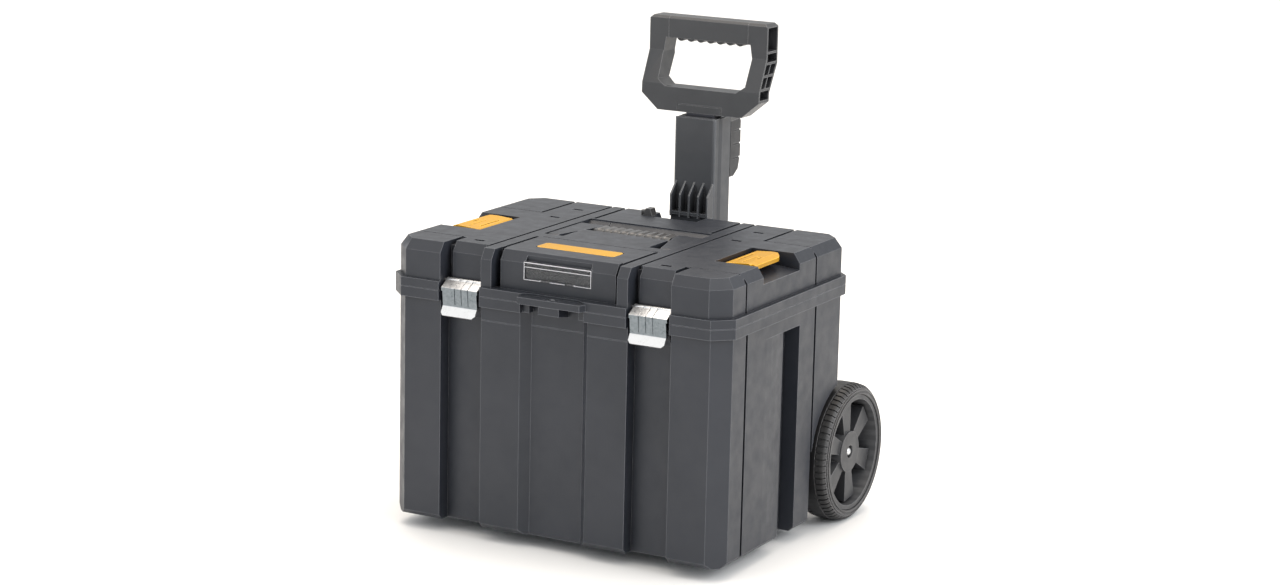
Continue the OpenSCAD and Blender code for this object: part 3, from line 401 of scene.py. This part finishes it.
def add_tyre(side):
    """Tyre with moulded rings on its side walls and blocks around its shoulders."""
    name = "tyre_" + side
    low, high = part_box(name)
    centre = (low + high) / 2
    half_width = (high[0] - low[0]) / 2
    outer = (high[2] - low[2]) / 2
    section = (tyre_half_section(1, half_width, outer)
               + tyre_half_section(-1, half_width, outer)[::-1])
    bm = bmesh.new()
    rings = []
    for block in range(TREAD_BLOCKS):
        for fraction, cut in BLOCK_STEPS:
            angle = 2 * math.pi * (block + fraction) / TREAD_BLOCKS
            ring = []
            for x, radius, grooved in section:
                depth = GROOVE_DEPTH * cut * grooved
                inwards = depth * 0.6 * (1 if x > 0 else -1)
                r = radius - depth
                ring.append(bm.verts.new((centre[0] + x - inwards,
                                          centre[1] + r * math.cos(angle),
                                          centre[2] + r * math.sin(angle))))
            rings.append(ring)
    for ring, following in zip(rings, rings[1:] + rings[:1]):
        skin(bm, ring, following)
    tyre = make_piece(bm, name + "_tread", "tyre_rubber", sharp_above=28)
    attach(tyre, "wheel_" + side)
    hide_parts(name)


def add_carry_grip():
    """Soft sleeve around the carry handle's bar, swelling into a row of finger lobes."""
    low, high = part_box("carry_grip")
    lobes, pitch = 9, 11.2 * MM
    valley = 3.0 * MM
    corner = 5.6 * MM
    stations = 120
    middle = (low[0] + high[0]) / 2
    bm = bmesh.new()
    rings = []
    for station in range(stations + 1):
        x = low[0] + (high[0] - low[0]) * station / stations
        phase = (x - middle) / pitch
        on_lobe = abs(phase) < lobes / 2
        swell = math.cos(math.pi * (phase - round(phase))) if on_lobe else 0.0
        depth = valley * (1 - swell)
        # centres of the section's corner arcs: the valleys are deepest in front
        front, back = low[1] + depth + corner, high[1] - 0.2 * depth - corner
        bottom, top = low[2] + 0.3 * MM + corner, high[2] - 0.6 * depth - corner
        ring = []
        for y, z, start in ((back, top, 0), (front, top, 90), (front, bottom, 180), (back, bottom, 270)):
            for turn in range(0, 91, 15):
                angle = math.radians(start + turn)
                ring.append(bm.verts.new((x, y + corner * math.cos(angle), z + corner * math.sin(angle))))
        rings.append(ring)
    for ring, following in zip(rings, rings[1:]):
        skin(bm, ring, following)
    bm.faces.new(rings[0])
    bm.faces.new(rings[-1])
    grip = make_piece(bm, "carry_grip_lobes", SLOTS["carry_grip"], sharp_above=35)
    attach(grip, "carry_handle")
    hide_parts("carry_grip")


def add_label_frame():
    """Raised border, top flange and two clips of the clear window, as one moulding."""
    low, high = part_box("label_window")
    inset = 0.2 * MM
    thick = 0.7 * MM
    left, right = low[0] + inset, high[0] - inset
    bottom, top = low[2] + inset, high[2] - inset
    front, back = low[1] + 0.15 * MM, low[1] + 1.0 * MM
    bm = bmesh.new()

    def bar(x0, x1, z0, z1):
        v = [bm.verts.new((x, y, z)) for x in (x0, x1) for y in (front, back) for z in (z0, z1)]
        for quad in ((0, 1, 3, 2), (4, 6, 7, 5), (0, 4, 5, 1), (2, 3, 7, 6), (0, 2, 6, 4), (1, 5, 7, 3)):
            bm.faces.new([v[i] for i in quad])

    bar(left, right, top - 0.9 * MM, top)
    # lower edge of the flange, drawn as a thin light line: partly the real edge, partly a painted
    # highlight along it
    bar(left + 0.8 * MM, right - 0.8 * MM, top - 6.0 * MM, top - 5.3 * MM)
    bar(left, right, bottom, bottom + thick)
    bar(left, left + thick, bottom + 0.8 * MM, top - 1.0 * MM)
    bar(right - thick, right, bottom + 0.8 * MM, top - 1.0 * MM)
    for x in (-18 * MM, 18 * MM):
        bar(x - 5 * MM, x + 5 * MM, bottom + 0.9 * MM, bottom + 1.7 * MM)
    border = make_piece(bm, "label_frame", "clear_plastic_edge")
    soften = border.modifiers.new("soften", "BEVEL")
    soften.width = 0.15 * MM
    soften.segments = 2
    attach(border, "lid")


add_camera()
add_floor()
add_light()
for name in NODES:
    dress_cad_node(name)
add_tyre("left")
add_tyre("right")
add_carry_grip()
add_label_frame()
